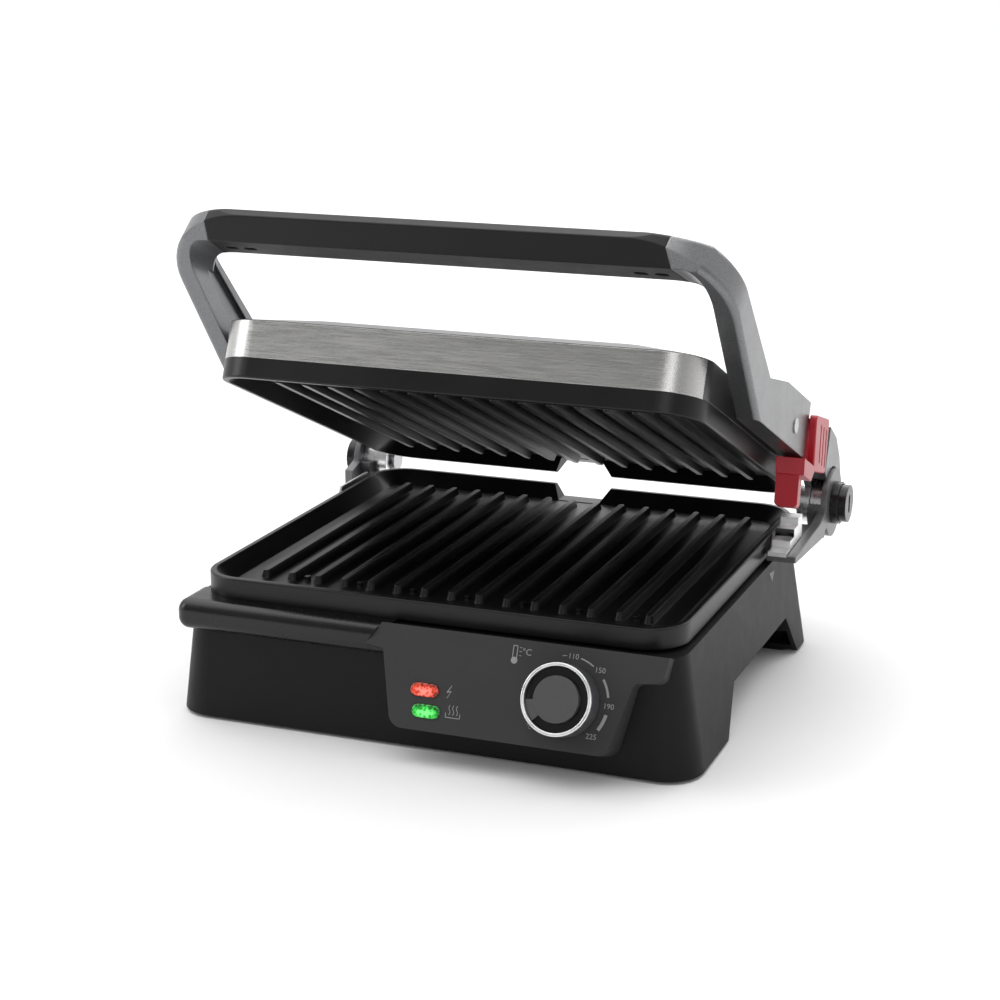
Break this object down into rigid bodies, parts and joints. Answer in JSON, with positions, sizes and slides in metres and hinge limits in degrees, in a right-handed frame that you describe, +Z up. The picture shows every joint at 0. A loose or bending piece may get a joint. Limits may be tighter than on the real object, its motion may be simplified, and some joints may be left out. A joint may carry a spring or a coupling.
{
  "type": "panini press",
  "caption": "Contact grill with a ribbed lower plate, a floating ribbed lid on hinged arms, a bar handle, a height lever, a dial and a grease tray.",
  "frame": {"origin": "centre of the footprint's bounding box, on the table", "axes": "+Z up, +Y from the user's side with the dial towards the hinge, +X to the right as the user sees it"},
  "size_m": [0.35, 0.3545, 0.2951],
  "materials": {
    "body_plastic": "fine matte texture",
    "console_plastic": "matte, slightly lighter than the body",
    "trim_plastic": "gloss",
    "bracket_plastic": "satin grey",
    "nonstick": "non-stick coat, satin",
    "brushed_steel": "brushed along its length",
    "steel_rack": "bright satin",
    "chrome": "polished",
    "cover_paint": "metallic grey, satin",
    "arm_paint": "metallic grey paint, satin",
    "grip_plastic": "soft satin",
    "lever_plastic": "dark red, soft gloss",
    "lamp_red": "translucent, lit",
    "lamp_green": "translucent, lit",
    "knob_side": "metallic grey side",
    "knob_ring": "bright ring",
    "knob_cap": "satin grey face",
    "pointer": "light grey",
    "rubber_foot": "matt",
    "zinc_steel": "plain steel",
    "element": "oxidised tube",
    "reflector_sheet": "plain sheet",
    "inner_plastic": "plain"
  },
  "bodies": {
    "base": {"base_housing": "body_plastic", "base_pan": "body_plastic", "nose_band": "trim_plastic", "control_panel": "console_plastic", "lamp_red": "lamp_red", "lamp_green": "lamp_green", "lamp_housing": "inner_plastic", "thermostat": "inner_plastic", "cord_gland": "trim_plastic", "terminal_block": "inner_plastic", "feet_front": "rubber_foot", "feet_rear": "rubber_foot", "lower_plate": "nonstick", "lower_heater": "element", "lower_reflector": "reflector_sheet", "bracket_right": "bracket_plastic", "bracket_left": "bracket_plastic", "hinge_plates": "zinc_steel", "hinge_shells": "chrome", "hinge_pins": "zinc_steel", "step_rack": "steel_rack", "hinge_collars": "trim_plastic", "hinge_cap": "trim_plastic", "tray_rails": "body_plastic", "pan_screws": "zinc_steel"},
    "arms": {"arm_right": "arm_paint", "arm_left": "arm_paint", "handle_grip": "grip_plastic", "grip_screws": "zinc_steel", "hinge_barrels": "chrome", "float_pins": "zinc_steel"},
    "lid": {"lid_cover": "cover_paint", "lid_band": "brushed_steel", "lid_frame": "zinc_steel", "upper_plate": "nonstick", "upper_heater": "element", "upper_reflector": "reflector_sheet"},
    "lever": {"height_lever": "lever_plastic", "lever_clip": "zinc_steel"},
    "knob": {"knob_body": "knob_side", "knob_shaft": "zinc_steel", "knob_ring": "knob_ring", "knob_insert": "trim_plastic", "knob_cap": "knob_cap", "knob_pointer": "pointer"},
    "button": {"release_button": "trim_plastic"},
    "tray": {"grease_tray": "body_plastic"}
  },
  "joints": [
    {"name": "lid_hinge", "type": "hinge", "parent": "base", "child": "arms", "pos_m": [0, 0.148, 0.085], "axis": [-1, 0, 0], "range_deg": [-23.3, 156.5]},
    {"name": "lid_float", "type": "hinge", "parent": "arms", "child": "lid", "pos_m": [0, 0.03229, 0.16155], "axis": [1, 0, 0], "range_deg": [0, 10]},
    {"name": "lever_slide", "type": "slide", "parent": "arms", "child": "lever", "axis": [0, 0.9178, -0.3971], "range_m": [0, 0.033]},
    {"name": "knob_turn", "type": "hinge", "parent": "base", "child": "knob", "pos_m": [0.0889, -0.15509, 0.04555], "axis": [0, 0.9272, -0.3746], "range_deg": [0, 250]},
    {"name": "button_press", "type": "slide", "parent": "base", "child": "button", "axis": [-1, 0, 0], "range_m": [0, 0.003], "stiffness_N_per_m": 400},
    {"name": "tray_slide", "type": "slide", "parent": "base", "child": "tray", "axis": [0, 1, 0], "range_m": [0, 0.033]}
  ]
}
